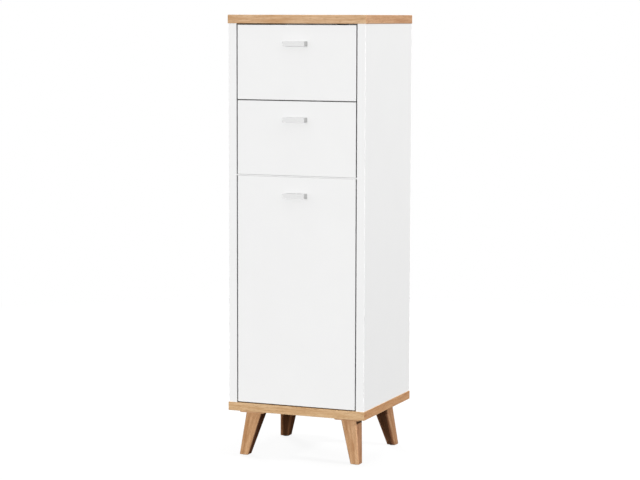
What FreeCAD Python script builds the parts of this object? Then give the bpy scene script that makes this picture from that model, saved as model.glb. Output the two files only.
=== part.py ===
# Bathroom side cabinet: oak top and base, white body, two drawers over one door, four splayed oak legs.
# Millimetres, +Z up, front towards -Y. The origin is on the floor, in the middle of the outside box.
import FreeCAD, Part
import math
import os
from collections import defaultdict
from FreeCAD import Vector

# Boards of the body
PANEL_WIDTH = 380.0
PANEL_DEPTH = 338.0
BOARD = 22.0
SIDE_HEIGHT = 982.0
OVERHANG = 2.0
EDGE_ROUND = 1.0
BACK_THICK = 3.0
BACK_INSET = 12.0
BACK_TONGUE = 6.0
GROOVE_CLEAR = 0.2

# Legs
LEG_HEIGHT = 121.5
LEG_TOP = 43.0
LEG_FOOT = 24.6
LEG_CORNER = 3.5
LEG_INSET_X = 57.0
LEG_INSET_FRONT = 56.0
LEG_INSET_REAR = 59.5
LEG_SPLAY = 23.0
LEG_PLATE = 70.0
LEG_PLATE_THICK = 7.0
LEG_PLATE_CORNER = 5.0
LEG_SCREW_INSET = 6.5
HANGER_BOLT = 4.0
HANGER_BOLT_DEPTH = 35.0
GLIDE_RADIUS = 8.5
GLIDE_THICK = 2.0
GLIDE_ROUND = 0.6
GLIDE_NAIL = 1.2
GLIDE_NAIL_LENGTH = 14.0

# Drawer fronts and door, set between the sides
FRONT_THICK = 16.0
SIDE_GAP = 2.8
TOP_GAP = 3.5
DRAWER_GAP = 2.5
BOTTOM_GAP = 2.4
DRAWER_FRONT_HEIGHT = 190.0
STRIP_THICK = 2.65
STRIP_CLEAR = 0.35
STRIP_SETBACK = 0.5
STRIP_TONGUE = 10.0

# Handles
HANDLE_LENGTH = 61.0
HANDLE_HEIGHT = 13.0
HANDLE_REACH = 20.0
HANDLE_BAR = 5.0
HANDLE_POST = 7.5
HANDLE_INNER_BEND = 2.0
HANDLE_OUTER_BEND = 2.5
HANDLE_ROUND = 1.8
HANDLE_DROP = 47.0
HANDLE_SCREW = 2.0
HANDLE_SCREW_BITE = 9.0
HANDLE_SCREW_HEAD = 3.8
HANDLE_SCREW_HEAD_THICK = 2.6

# Shelves
SHELF_THICK = 16.0
SHELF_SETBACK = 2.0
LOOSE_SHELF_LIFT = 285.0
LOOSE_SHELF_SETBACK = 22.0
LOOSE_SHELF_CLEAR = 0.75
PIN_RADIUS = 2.5
PIN_DEPTH = 9.0
PIN_TONGUE = 9.0
PIN_TONGUE_WIDTH = 8.0
PIN_TONGUE_THICK = 2.5
PIN_INSET = 40.0
PIN_PITCH = 32.0
PIN_ROWS = 5

# Drawer boxes
DRAWER_SIDE_DROP = 47.0
DRAWER_REAR_CLEAR = 17.0
DRAWER_BOARD = 12.0
DRAWER_BOTTOM = 3.0
DRAWER_BOTTOM_LIFT = 10.0
DRAWER_TONGUE = 6.0

# Roller runners
RUNNER_GAP = 12.5
SHEET = 1.2
ROLLER_RADIUS = 7.5
ROLLER_SIDE_CLEAR = 0.6
AXLE_RADIUS = 2.0
AXLE_CLEAR = 0.06
RUN_CLEAR = 0.3
RAIL_SIDE_CLEAR = 0.5
RAIL_FLOOR_CLEAR = 2.3
RAIL_SETBACK = 2.0
RAIL_REAR_CLEAR = 20.0
RAIL_SCREW_INSET = 43.0
RUNNER_LIP = 10.0
RUNNER_FLANGE_INSET = 2.0
RUNNER_RISE = 10.0
RUNNER_SCREW_INSET = 70.0
FLANGE_CLEAR = 0.5
ROLLER_END = 2.0

# Cup hinges
CUP_RADIUS = 17.5
CUP_DEPTH = 11.5
CUP_WALL = 1.2
CUP_EDGE = 5.0
CUP_FLANGE = 1.2
CUP_FLANGE_WIDTH = 24.0
CUP_SCREW_OUT = 6.5
CUP_EAR = 7.0
HINGE_INSET = 90.0
HINGE_PIN_OFFSET = 2.5
HINGE_PIN_RADIUS = 1.5
HINGE_PIN_CLEAR = 0.05
HINGE_EYE_WALL = 0.95
HINGE_EYE_CLEAR = 0.3
ARM_WIDTH = 14.0
ARM_THICK = 2.4
ARM_CUP_CLEAR = 1.2
ARM_SWING_CLEAR = 1.6
ARM_TAIL = 6.0
ARM_BEND = 1.6
HINGE_PLATE_RISE = 6.0
HINGE_PLATE_FROM_BEND = 8.0
HINGE_PLATE_LENGTH = 34.0
HINGE_PLATE_WING = 10.0
HINGE_PLATE_WING_THICK = 2.5
HINGE_PLATE_HEIGHT = 46.0
HINGE_SCREW_SPACING = 32.0

# Door stops
STOP_REACH = 10.0
STOP_DEPTH = 14.0
STOP_HEIGHT = 30.0
STOP_INSET = 24.0

# Wall bracket under the top panel
BRACKET_WIDTH = 30.0
BRACKET_LEG = 28.0
BRACKET_THICK = 2.0
BRACKET_SCREW_SPACING = 16.0
BRACKET_HOLE_INSET = 17.0
WALL_HOLE = 3.0

# Knock-down fittings: cam locks, their bolts and wood dowels
FITTING_INSET = 60.0
DOWEL_OFFSET = 32.0
CAM_RADIUS = 7.4
CAM_REACH = 24.0
CAM_UNDER_BOLT = 4.5
BOLT_THREAD = 2.5
BOLT_THREAD_DEPTH = 11.0
BOLT_SHANK = 3.0
BOLT_HEAD = 3.5
BOLT_HEAD_LENGTH = 4.0
SMALL_CAM_RADIUS = 5.0
SMALL_CAM_REACH = 16.0
SMALL_CAM_UNDER_BOLT = 3.2
SMALL_BOLT_THREAD = 1.8
SMALL_BOLT_SHANK = 2.0
SMALL_BOLT_HEAD = 2.4
SMALL_CAM_INSET = 28.0
DOWEL_RADIUS = 4.0
DOWEL_IN_FACE = 12.0
DOWEL_IN_EDGE = 18.0
FIT_CLEAR = 0.05

# Screws
SCREW_SHANK = 1.7
SCREW_HEAD = 3.0
SCREW_HEAD_THICK = 1.2
SCREW_CONE = 2.2
RAIL_SCREW_LENGTH = 15.0
RUNNER_SCREW_LENGTH = 9.0
LEG_SCREW_LENGTH = 22.0
HINGE_SCREW_LENGTH = 15.0
CUP_SCREW_LENGTH = 12.0
BRACKET_SCREW_LENGTH = 14.0
STOP_SCREW_LENGTH = 24.0
BOX_SCREW_LENGTH = 30.0
ARM_SCREW_LENGTH = 7.0

# Places that follow from the sizes above
y_back = (PANEL_DEPTH - OVERHANG + HANDLE_REACH) / 2
y_panel = y_back - PANEL_DEPTH
y_front = y_panel + OVERHANG
y_behind = y_front + FRONT_THICK
y_inner_back = y_back - BACK_INSET - BACK_THICK
x_out = PANEL_WIDTH / 2 - OVERHANG
x_in = x_out - BOARD
x_front = x_in - SIDE_GAP
z_floor = LEG_HEIGHT + BOARD
z_ceiling = z_floor + SIDE_HEIGHT
z_top = z_ceiling + BOARD
upper_z = z_ceiling - TOP_GAP - DRAWER_FRONT_HEIGHT
lower_z = upper_z - DRAWER_GAP - DRAWER_FRONT_HEIGHT
strip_z = lower_z - STRIP_CLEAR - STRIP_THICK
door_top = strip_z - STRIP_CLEAR
door_bottom = z_floor + BOTTOM_GAP
y_shelf = y_behind + SHELF_SETBACK
shelf_top = strip_z + SHELF_THICK
x_box = x_in - RUNNER_GAP
y_box_back = y_inner_back - DRAWER_REAR_CLEAR
rail_width = RUNNER_GAP - SHEET - SCREW_HEAD_THICK - RAIL_SIDE_CLEAR
rail_height = 2 * (ROLLER_RADIUS + RUN_CLEAR + SHEET)
roller_offset = SHEET + SCREW_HEAD_THICK + ROLLER_SIDE_CLEAR
roller_width = rail_width - roller_offset - ROLLER_SIDE_CLEAR
drawer_lift = shelf_top - lower_z + RAIL_FLOOR_CLEAR + rail_height + FLANGE_CLEAR + SHEET - RUNNER_RISE
hinge_eye = HINGE_PIN_RADIUS + HINGE_PIN_CLEAR + HINGE_EYE_WALL
x_cup = -x_front + CUP_EDGE + CUP_RADIUS
x_pin = x_cup - HINGE_PIN_OFFSET
pin_sink = CUP_DEPTH - CUP_WALL - HINGE_EYE_CLEAR - hinge_eye
y_pin = y_behind - pin_sink
y_arm = y_pin + math.hypot(x_pin + x_front, pin_sink) + ARM_SWING_CLEAR
y_plate = y_arm + ARM_THICK + HINGE_PLATE_FROM_BEND
y_plate_mid = y_plate + HINGE_PLATE_LENGTH / 2

X = Vector(1, 0, 0)
Y = Vector(0, 1, 0)
Z = Vector(0, 0, 1)

pieces = defaultdict(list)
holes = defaultdict(list)


def box(x0, x1, y0, y1, z0, z1):
    return Part.makeBox(x1 - x0, y1 - y0, z1 - z0, Vector(x0, y0, z0))


def rod(radius, start, direction, length):
    return Part.makeCylinder(radius, length, start, direction)


def mirrored(shape):
    return shape.mirror(Vector(0, 0, 0), X)


def rounded_board(x0, x1, y0, y1, z0, z1):
    board = box(x0, x1, y0, y1, z0, z1)
    return board.makeFillet(EDGE_ROUND, board.Edges)


def upright_edges(shape):
    return [e for e in shape.Edges if abs(e.tangentAt(e.FirstParameter).z) > 0.99]


def drill(names, tool):
    for name in names:
        holes[name].append(tool)


def flat_screw(node, point, direction, length, through):
    """A screw whose head lies on the surface at point. It passes into the nodes named in through."""
    head = rod(SCREW_HEAD, point - direction * SCREW_HEAD_THICK, direction, SCREW_HEAD_THICK)
    shank = rod(SCREW_SHANK, point, direction, length)
    pieces[node].append(head.fuse(shank).removeSplitter())
    drill(through, rod(SCREW_SHANK + FIT_CLEAR, point, direction, length + FIT_CLEAR))


def sunk_screw(node, point, direction, length, through):
    """A countersunk screw whose head is level with the surface at point."""
    cone = Part.makeCone(SCREW_HEAD, SCREW_SHANK, SCREW_CONE, point, direction)
    shank = rod(SCREW_SHANK, point + direction * SCREW_CONE, direction, length - SCREW_CONE)
    pieces[node].append(cone.fuse(shank).removeSplitter())
    wide = Part.makeCone(SCREW_HEAD + FIT_CLEAR, SCREW_SHANK + FIT_CLEAR, SCREW_CONE, point, direction)
    bore = rod(SCREW_SHANK + FIT_CLEAR, point, direction, length + FIT_CLEAR)
    drill(through, wide.fuse(bore))


def cam_joint(nodes, edge_board, face_board, joint, along, face, to_face, sizes):
    """A cam in edge_board draws a bolt that is screwed into face_board.

    joint is on the contact plane, along points into edge_board, and the cam opens on the side of face."""
    cam_node, bolt_node = nodes
    radius, reach, under, thread, shank, head = sizes
    centre = joint + along * reach
    depth = to_face + under
    mouth = centre + face * to_face
    half_head = BOLT_HEAD_LENGTH / 2
    cam = rod(radius, mouth, face * -1, depth)
    passage = rod(head + RUN_CLEAR, joint, along, reach + half_head + RUN_CLEAR)
    pieces[cam_node].append(cam.cut(passage))
    bolt = rod(thread, joint - along * BOLT_THREAD_DEPTH, along, BOLT_THREAD_DEPTH)
    bolt = bolt.fuse(rod(shank, joint, along, reach))
    bolt = bolt.fuse(rod(head, centre - along * half_head, along, BOLT_HEAD_LENGTH))
    pieces[bolt_node].append(bolt.removeSplitter())
    drill([edge_board], rod(radius + FIT_CLEAR, mouth, face * -1, depth + FIT_CLEAR))
    drill([edge_board], passage)
    bite = BOLT_THREAD_DEPTH + FIT_CLEAR
    drill([face_board], rod(thread + FIT_CLEAR, joint - along * bite, along, bite))


LARGE_CAM = (CAM_RADIUS, CAM_REACH, CAM_UNDER_BOLT, BOLT_THREAD, BOLT_SHANK, BOLT_HEAD)
SMALL_CAM = (
    SMALL_CAM_RADIUS,
    SMALL_CAM_REACH,
    SMALL_CAM_UNDER_BOLT,
    SMALL_BOLT_THREAD,
    SMALL_BOLT_SHANK,
    SMALL_BOLT_HEAD,
)


def dowel_joint(edge_board, face_board, joint, along):
    start = joint - along * DOWEL_IN_FACE
    length = DOWEL_IN_FACE + DOWEL_IN_EDGE
    pieces["wood_dowels"].append(rod(DOWEL_RADIUS, start, along, length))
    hole = rod(DOWEL_RADIUS + FIT_CLEAR, start - along * FIT_CLEAR, along, length + 2 * FIT_CLEAR)
    drill([edge_board, face_board], hole)


# Top, base, sides and back: the sides stand between the two oak boards, the back slides in a groove
def build_body():
    x_panel = PANEL_WIDTH / 2
    pieces["top_panel"].append(rounded_board(-x_panel, x_panel, y_panel, y_back, z_ceiling, z_top))
    pieces["base_panel"].append(rounded_board(-x_panel, x_panel, y_panel, y_back, LEG_HEIGHT, z_floor))
    right = box(x_in, x_out, y_front, y_back, z_floor, z_ceiling)
    right = right.makeFillet(EDGE_ROUND, upright_edges(right))
    pieces["right_side"].append(right)
    pieces["left_side"].append(mirrored(right))
    tongue_x = x_in + BACK_TONGUE
    tongue_z = (z_floor - BACK_TONGUE, z_ceiling + BACK_TONGUE)
    pieces["back_panel"].append(box(-tongue_x, tongue_x, y_inner_back, y_inner_back + BACK_THICK, *tongue_z))
    groove = box(
        -tongue_x - GROOVE_CLEAR,
        tongue_x + GROOVE_CLEAR,
        y_inner_back,
        y_inner_back + BACK_THICK + GROOVE_CLEAR,
        tongue_z[0] - GROOVE_CLEAR,
        tongue_z[1] + GROOVE_CLEAR,
    )
    drill(["top_panel", "base_panel", "left_side", "right_side"], groove)


def fitting_rows():
    """Front and back places of the cams, each with the place of its dowel further in."""
    front = y_front + FITTING_INSET
    back = y_inner_back - FITTING_INSET
    return [(front, front + DOWEL_OFFSET), (back, back - DOWEL_OFFSET)]


def join_body():
    nodes = ("cam_locks", "cam_bolts")
    x_mid = x_in + BOARD / 2
    for side, sign in (("left_side", -1), ("right_side", 1)):
        for cam_y, dowel_y in fitting_rows():
            for board, z, along in (("top_panel", z_ceiling, Z * -1), ("base_panel", z_floor, Z)):
                joint = Vector(sign * x_mid, cam_y, z)
                cam_joint(nodes, side, board, joint, along, X * -sign, BOARD / 2, LARGE_CAM)
                dowel_joint(side, board, Vector(sign * x_mid, dowel_y, z), along)
            shelf_mid = strip_z + SHELF_THICK / 2
            joint = Vector(sign * x_in, cam_y, shelf_mid)
            cam_joint(nodes, "fixed_shelf", side, joint, X * -sign, Z * -1, SHELF_THICK / 2, LARGE_CAM)
            dowel_joint("fixed_shelf", side, Vector(sign * x_in, dowel_y, shelf_mid), X * -sign)


# The fixed shelf parts the drawers from the cupboard, and a thin strip in its front edge closes the joint
def build_shelves():
    shelf = box(-x_in, x_in, y_shelf, y_inner_back, strip_z, shelf_top)
    strip = box(-x_in, x_in, y_front + STRIP_SETBACK, y_shelf + STRIP_TONGUE, strip_z, strip_z + STRIP_THICK)
    pieces["divider_strip"].append(strip)
    pieces["fixed_shelf"].append(shelf.cut(strip))
    z_loose = z_floor + LOOSE_SHELF_LIFT
    x_loose = x_in - LOOSE_SHELF_CLEAR
    y_loose = y_behind + LOOSE_SHELF_SETBACK
    y_loose_back = y_inner_back - LOOSE_SHELF_CLEAR
    pieces["adjustable_shelf"].append(
        rounded_board(-x_loose, x_loose, y_loose, y_loose_back, z_loose, z_loose + SHELF_THICK)
    )
    for sign, side in ((-1, "left_side"), (1, "right_side")):
        for y in (y_loose + PIN_INSET, y_loose_back - PIN_INSET):
            add_shelf_pin(sign, y, z_loose)
            add_pin_holes(sign, side, y, z_loose)


def pin_height(z_loose):
    return z_loose - PIN_TONGUE_THICK - PIN_RADIUS


def add_shelf_pin(sign, y, z_loose):
    """A peg in the side with a flat tongue under the shelf."""
    z = pin_height(z_loose)
    peg = rod(PIN_RADIUS, Vector(sign * (x_in + PIN_DEPTH), y, z), X * -sign, PIN_DEPTH + PIN_TONGUE)
    half = PIN_TONGUE_WIDTH / 2
    ends = sorted((sign * x_in, sign * (x_in - PIN_TONGUE)))
    tongue = box(ends[0], ends[1], y - half, y + half, z, z_loose)
    pieces["shelf_pins"].append(peg.fuse(tongue).removeSplitter())


def add_pin_holes(sign, side, y, z_loose):
    for row in range(PIN_ROWS):
        z = pin_height(z_loose) + (row - PIN_ROWS // 2) * PIN_PITCH
        depth = PIN_DEPTH + FIT_CLEAR
        drill([side], rod(PIN_RADIUS + FIT_CLEAR, Vector(sign * (x_in + depth), y, z), X * -sign, depth))


# Legs: a tapered, leaning oak leg on a screwed plate, with a nail-on glide under the foot
def square_wire(cx, cy, z, size, corner):
    half = size / 2
    square = Part.makePlane(size, size, Vector(cx - half, cy - half, z))
    solid = square.extrude(Z)
    solid = solid.makeFillet(corner, upright_edges(solid))
    faces = [f for f in solid.Faces if abs(f.CenterOfMass.z - z) < 1e-6]
    return faces[0].OuterWire


def build_legs():
    x_leg = PANEL_WIDTH / 2 - LEG_INSET_X
    rows = {"front": (y_panel + LEG_INSET_FRONT, -1), "rear": (y_back - LEG_INSET_REAR, 1)}
    z_plate = LEG_HEIGHT - LEG_PLATE_THICK
    for row, (y_leg, y_sign) in rows.items():
        for hand, x_sign in (("left", -1), ("right", 1)):
            top = Vector(x_sign * x_leg, y_leg, z_plate)
            foot = Vector(top.x + x_sign * LEG_SPLAY, top.y + y_sign * LEG_SPLAY, GLIDE_THICK)
            node = "leg_" + row + "_" + hand
            lower = square_wire(foot.x, foot.y, foot.z, LEG_FOOT, LEG_CORNER)
            upper = square_wire(top.x, top.y, top.z, LEG_TOP, LEG_CORNER)
            pieces[node].append(Part.makeLoft([lower, upper], True, True))
            add_leg_plate(node, top)
            add_glide(node, foot)


def add_leg_plate(leg, top):
    half = LEG_PLATE / 2
    plate = box(top.x - half, top.x + half, top.y - half, top.y + half, top.z, LEG_HEIGHT)
    pieces["leg_plates"].append(plate.makeFillet(LEG_PLATE_CORNER, upright_edges(plate)))
    reach = half - LEG_SCREW_INSET
    for dx in (-reach, reach):
        for dy in (-reach, reach):
            point = top + Vector(dx, dy, 0)
            sunk_screw("cabinet_screws", point, Z, LEG_SCREW_LENGTH, ["leg_plates", "base_panel"])
    start = top - Z * HANGER_BOLT_DEPTH
    length = HANGER_BOLT_DEPTH + LEG_PLATE_THICK
    pieces["leg_bolts"].append(rod(HANGER_BOLT, start, Z, length))
    hole = rod(HANGER_BOLT + FIT_CLEAR, start - Z * FIT_CLEAR, Z, length + FIT_CLEAR)
    drill([leg, "leg_plates"], hole)


def add_glide(leg, foot):
    base = Vector(foot.x, foot.y, 0)
    disc = rod(GLIDE_RADIUS, base, Z, GLIDE_THICK)
    lower_edge = [e for e in disc.Edges if e.BoundBox.ZMax < GLIDE_THICK / 2]
    disc = disc.makeFillet(min(GLIDE_ROUND, GLIDE_THICK / 2), lower_edge)
    nail = rod(GLIDE_NAIL, base + Z * GLIDE_THICK, Z, GLIDE_NAIL_LENGTH)
    pieces["foot_glides"].append(disc.fuse(nail).removeSplitter())
    drill([leg], rod(GLIDE_NAIL + FIT_CLEAR, base, Z, GLIDE_THICK + GLIDE_NAIL_LENGTH + FIT_CLEAR))


# Handle: a flat bow with rounded bends, held by two machine screws from behind the front
def handle_outline(half, y0, y1, bend):
    """The outside or inside of the bow seen from above, as a face from y0 forward to y1."""
    turn = bend * (1 - math.sqrt(0.5))
    points = [Vector(-half, y0, 0), Vector(-half, y1 + bend, 0), Vector(-half + bend, y1, 0)]
    points += [Vector(half - bend, y1, 0), Vector(half, y1 + bend, 0), Vector(half, y0, 0)]
    middles = [Vector(-half + turn, y1 + turn, 0), Vector(half - turn, y1 + turn, 0)]
    edges = [
        Part.makeLine(points[0], points[1]),
        Part.Arc(points[1], middles[0], points[2]).toShape(),
        Part.makeLine(points[2], points[3]),
        Part.Arc(points[3], middles[1], points[4]).toShape(),
        Part.makeLine(points[4], points[5]),
        Part.makeLine(points[5], points[0]),
    ]
    return Part.Face(Part.Wire(edges))


def add_handle(node, screws, front, z_edge):
    z0 = z_edge - HANDLE_DROP - HANDLE_HEIGHT / 2
    half = HANDLE_LENGTH / 2
    y_bar = y_front - HANDLE_REACH
    outer = handle_outline(half, y_front, y_bar, HANDLE_OUTER_BEND)
    inner = handle_outline(half - HANDLE_POST, y_front, y_bar + HANDLE_BAR, HANDLE_INNER_BEND)
    bow = outer.cut(inner).extrude(Z * HANDLE_HEIGHT)
    long_edges = [e for e in bow.Edges if e.BoundBox.ZLength < 1e-6 and e.BoundBox.YMin < y_front - 1e-6]
    thinnest = min(HANDLE_BAR, HANDLE_POST, HANDLE_HEIGHT)
    bow = bow.makeFillet(min(HANDLE_ROUND, 0.45 * thinnest), long_edges)
    bow.translate(Z * z0)
    pieces[node].append(bow)
    for sign in (-1, 1):
        x = sign * (half - HANDLE_POST / 2)
        start = Vector(x, y_behind, z_edge - HANDLE_DROP)
        length = FRONT_THICK + HANDLE_SCREW_BITE
        head = rod(HANDLE_SCREW_HEAD, start, Y, HANDLE_SCREW_HEAD_THICK)
        shank = rod(HANDLE_SCREW, start, Y * -1, length)
        pieces[screws].append(head.fuse(shank).removeSplitter())
        drill([node, front], rod(HANDLE_SCREW + FIT_CLEAR, start, Y * -1, length + FIT_CLEAR))


# Drawer: front, two sides, back and bottom, on roller runners
def build_drawer(name, z_front):
    front = name + "_front"
    screws = name + "_screws"
    z_front_top = z_front + DRAWER_FRONT_HEIGHT
    z_box = z_front + drawer_lift
    z_box_top = z_front_top - DRAWER_SIDE_DROP
    z_bottom = z_box + DRAWER_BOTTOM_LIFT
    x_inside = x_box - DRAWER_BOARD
    pieces[front].append(rounded_board(-x_front, x_front, y_front, y_behind, z_front, z_front_top))
    right = box(x_inside, x_box, y_behind, y_box_back, z_box, z_box_top)
    pieces[name + "_right_side"].append(right)
    pieces[name + "_left_side"].append(mirrored(right))
    y_rear = y_box_back - DRAWER_BOARD
    z_rear = z_bottom + DRAWER_BOTTOM
    pieces[name + "_back"].append(box(-x_inside, x_inside, y_rear, y_box_back, z_rear, z_box_top))
    x_tongue = x_inside + DRAWER_TONGUE
    y_tongue = y_behind - DRAWER_TONGUE
    pieces[name + "_bottom"].append(box(-x_tongue, x_tongue, y_tongue, y_box_back, z_bottom, z_rear))
    groove = box(
        -x_tongue - GROOVE_CLEAR,
        x_tongue + GROOVE_CLEAR,
        y_tongue - GROOVE_CLEAR,
        y_box_back + GROOVE_CLEAR,
        z_bottom,
        z_rear + GROOVE_CLEAR,
    )
    drill([front, name + "_left_side", name + "_right_side"], groove)
    for sign, side in ((-1, name + "_left_side"), (1, name + "_right_side")):
        for z in (z_rear + SMALL_CAM_INSET, z_box_top - SMALL_CAM_INSET):
            joint = Vector(sign * (x_box - DRAWER_BOARD / 2), y_behind, z)
            nodes = (name + "_cams", name + "_cams")
            cam_joint(nodes, side, front, joint, Y, X * sign, DRAWER_BOARD / 2, SMALL_CAM)
            point = Vector(sign * x_box, y_box_back - DRAWER_BOARD / 2, z)
            sunk_screw(screws, point, X * -sign, BOX_SCREW_LENGTH, [side, name + "_back"])
    add_handle(name + "_handle", screws, front, z_front_top)
    add_runners(name, z_box)


def add_runners(name, z_box):
    """A rail on the cabinet and a runner under the drawer, for both hands, each carrying one roller."""
    z_flange = z_box + RUNNER_RISE - SHEET
    z_rail = z_flange - FLANGE_CLEAR - rail_height
    z_mid = z_rail + rail_height / 2
    y_rail = y_behind + RAIL_SETBACK
    y_rail_back = y_inner_back - RAIL_REAR_CLEAR
    rail_screws = (y_rail + RAIL_SCREW_INSET, (y_rail + y_rail_back) / 2, y_rail_back - RAIL_SCREW_INSET)
    runner_screws = (y_behind + RUNNER_SCREW_INSET, y_box_back - RUNNER_SCREW_INSET)
    for hand, sign in (("left", -1), ("right", 1)):
        side = hand + "_side"
        drawer_side = name + "_" + hand + "_side"
        rail = build_rail(y_rail, y_rail_back, z_rail, z_flange)
        runner = build_runner(z_box, z_mid)
        solids = [rail, runner, roller_at(*front_axle(z_flange)), roller_at(*rear_axle(z_mid))]
        if sign < 0:
            solids = [mirrored(s) for s in solids]
        endings = ("_rail_" + hand, "_runner_" + hand, "_front_rollers", "_rear_rollers")
        nodes = [name + ending for ending in endings]
        for node, solid in zip(nodes, solids):
            pieces[node].append(solid)
        for y in rail_screws:
            point = Vector(sign * (x_in - SHEET), y, z_mid)
            flat_screw("cabinet_screws", point, X * sign, RAIL_SCREW_LENGTH, [nodes[0], side])
        for y in runner_screws:
            point = Vector(sign * (x_box + SHEET), y, z_box + RUNNER_RISE / 2)
            flat_screw(name + "_screws", point, X * -sign, RUNNER_SCREW_LENGTH, [nodes[1], drawer_side])


def front_axle(z_flange):
    """Where the cabinet's roller turns: its top carries the runner's flange."""
    return y_behind + RAIL_SETBACK + ROLLER_RADIUS + ROLLER_END, z_flange - RUN_CLEAR - ROLLER_RADIUS


def rear_axle(z_mid):
    """Where the drawer's roller turns, in the middle of the rail."""
    return y_box_back - ROLLER_RADIUS - ROLLER_END, z_mid


def roller_at(y, z):
    start = Vector(x_in - roller_offset, y, z)
    tyre = rod(ROLLER_RADIUS, start, X * -1, roller_width)
    return tyre.cut(rod(AXLE_RADIUS + AXLE_CLEAR, start, X * -1, roller_width))


def build_rail(y0, y1, z_rail, z_flange):
    """A channel of bent sheet, open towards the drawer, whose upper lip is cut away over its roller."""
    x_open = x_in - rail_width
    x_web = x_in - SHEET
    z_lip = z_rail + rail_height - SHEET
    channel = box(x_open, x_in, y0, y1, z_rail, z_lip + SHEET)
    inside = box(x_open, x_web, y0, y1, z_rail + SHEET, z_lip)
    y_axle, z_axle = front_axle(z_flange)
    window = box(x_open, x_web, y0, y_axle + ROLLER_RADIUS + ROLLER_END, z_rail + SHEET, z_flange)
    axle = rod(AXLE_RADIUS, Vector(x_web, y_axle, z_axle), X * -1, roller_offset + roller_width - SHEET)
    return channel.cut(inside).cut(window).fuse(axle).removeSplitter()


def build_runner(z_box, z_mid):
    """Bent sheet: a lip under the drawer side, a web, a flange on the rail's roller and a tab at the rear."""
    y0 = y_behind
    y1 = y_box_back
    z_flange = z_box + RUNNER_RISE - SHEET
    web = box(x_box, x_box + SHEET, y0, y1, z_box - SHEET, z_flange + SHEET)
    lip = box(x_box - RUNNER_LIP, x_box, y0, y1, z_box - SHEET, z_box)
    flange = box(x_box, x_in - RUNNER_FLANGE_INSET, y0, y1, z_flange, z_flange + SHEET)
    y_axle, z_axle = rear_axle(z_mid)
    tab = box(x_box, x_box + SHEET, y_axle - ROLLER_RADIUS, y1, z_axle - 2 * AXLE_RADIUS, z_box)
    start = Vector(x_box, y_axle, z_axle)
    axle = rod(AXLE_RADIUS, start, X, x_in - x_box - roller_offset)
    return web.fuse([lip, flange, tab, axle]).removeSplitter()


# Door on two cup hinges at its left edge, with stops at its free edge
def build_door():
    pieces["door_panel"].append(rounded_board(-x_front, x_front, y_front, y_behind, door_bottom, door_top))
    add_handle("door_handle", "door_screws", "door_panel", door_top)
    for z in (door_bottom + HINGE_INSET, door_top - HINGE_INSET):
        add_cup(z)
        add_arm(z)
        add_hinge_plate(z)
    for z in (door_bottom + STOP_INSET, door_top - STOP_INSET):
        add_door_stop(z)


def add_cup(z):
    """A cup sunk in the door with a screwed flange, and the pin across it."""
    mouth = Vector(x_cup, y_behind, z)
    shell = rod(CUP_RADIUS, mouth, Y * -1, CUP_DEPTH)
    half_w = CUP_FLANGE_WIDTH / 2
    half_l = CUP_RADIUS + CUP_SCREW_OUT + CUP_EAR
    ears = box(x_cup - half_w, x_cup + half_w, y_behind, y_behind + CUP_FLANGE, z - half_l, z + half_l)
    ears = ears.makeFillet(half_w / 2, [e for e in ears.Edges if e.BoundBox.YLength > CUP_FLANGE / 2])
    rim = rod(CUP_RADIUS + CUP_FLANGE, mouth, Y, CUP_FLANGE)
    bowl = rod(CUP_RADIUS - CUP_WALL, mouth + Y * CUP_FLANGE, Y * -1, CUP_FLANGE + CUP_DEPTH - CUP_WALL)
    half_pin = math.sqrt((CUP_RADIUS - CUP_WALL / 2) ** 2 - HINGE_PIN_OFFSET ** 2)
    pin_low = Vector(x_pin, y_pin, z - half_pin)
    pieces["hinge_pins"].append(rod(HINGE_PIN_RADIUS, pin_low, Z, 2 * half_pin))
    seat = rod(HINGE_PIN_RADIUS + FIT_CLEAR, pin_low - Z * FIT_CLEAR, Z, 2 * (half_pin + FIT_CLEAR))
    pieces["hinge_cups"].append(shell.fuse([ears, rim]).cut([bowl, seat]).removeSplitter())
    drill(["door_panel"], rod(CUP_RADIUS + FIT_CLEAR, mouth, Y * -1, CUP_DEPTH + FIT_CLEAR))
    for sign in (-1, 1):
        point = Vector(x_cup, y_behind + CUP_FLANGE, z + sign * (CUP_RADIUS + CUP_SCREW_OUT))
        flat_screw("door_screws", point, Y * -1, CUP_SCREW_LENGTH, ["hinge_cups", "door_panel"])


def add_arm(z):
    """A hooked arm: an eye on the pin, out of the cup, round the door's edge and along the side panel."""
    half = ARM_WIDTH / 2
    z_arm = (z - half, z + half)
    x_hook = x_cup + math.sqrt((CUP_RADIUS - CUP_WALL) ** 2 - half ** 2) - ARM_CUP_CLEAR
    x_plate = -x_in + HINGE_PLATE_RISE
    y_hook = y_pin - ARM_THICK / 2
    y_end = y_plate + HINGE_PLATE_LENGTH + ARM_TAIL
    foot = Vector(x_pin, y_pin, z - half)
    runs = [
        box(x_pin, x_hook, y_hook, y_hook + ARM_THICK, *z_arm),
        box(x_hook - ARM_THICK, x_hook, y_hook, y_arm + ARM_THICK, *z_arm),
        box(x_plate, x_hook, y_arm, y_arm + ARM_THICK, *z_arm),
        box(x_plate, x_plate + ARM_THICK, y_arm, y_end, *z_arm),
    ]
    arm = rod(hinge_eye, foot, Z, ARM_WIDTH).fuse(runs).removeSplitter()
    corners = [(x_hook, y_hook), (x_hook, y_arm + ARM_THICK), (x_plate, y_arm)]
    bends = []
    for edge in upright_edges(arm):
        place = edge.CenterOfMass
        if any(math.hypot(place.x - x, place.y - y) < 1e-6 for x, y in corners):
            bends.append(edge)
    arm = arm.makeFillet(min(ARM_BEND, 0.9 * ARM_THICK), bends)
    arm = arm.cut(rod(HINGE_PIN_RADIUS + HINGE_PIN_CLEAR, foot, Z, ARM_WIDTH))
    pieces["hinge_arms"].append(arm)
    point = Vector(x_plate + ARM_THICK, y_plate_mid, z)
    flat_screw("cabinet_screws", point, X * -1, ARM_SCREW_LENGTH, ["hinge_arms", "hinge_plates"])


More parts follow.
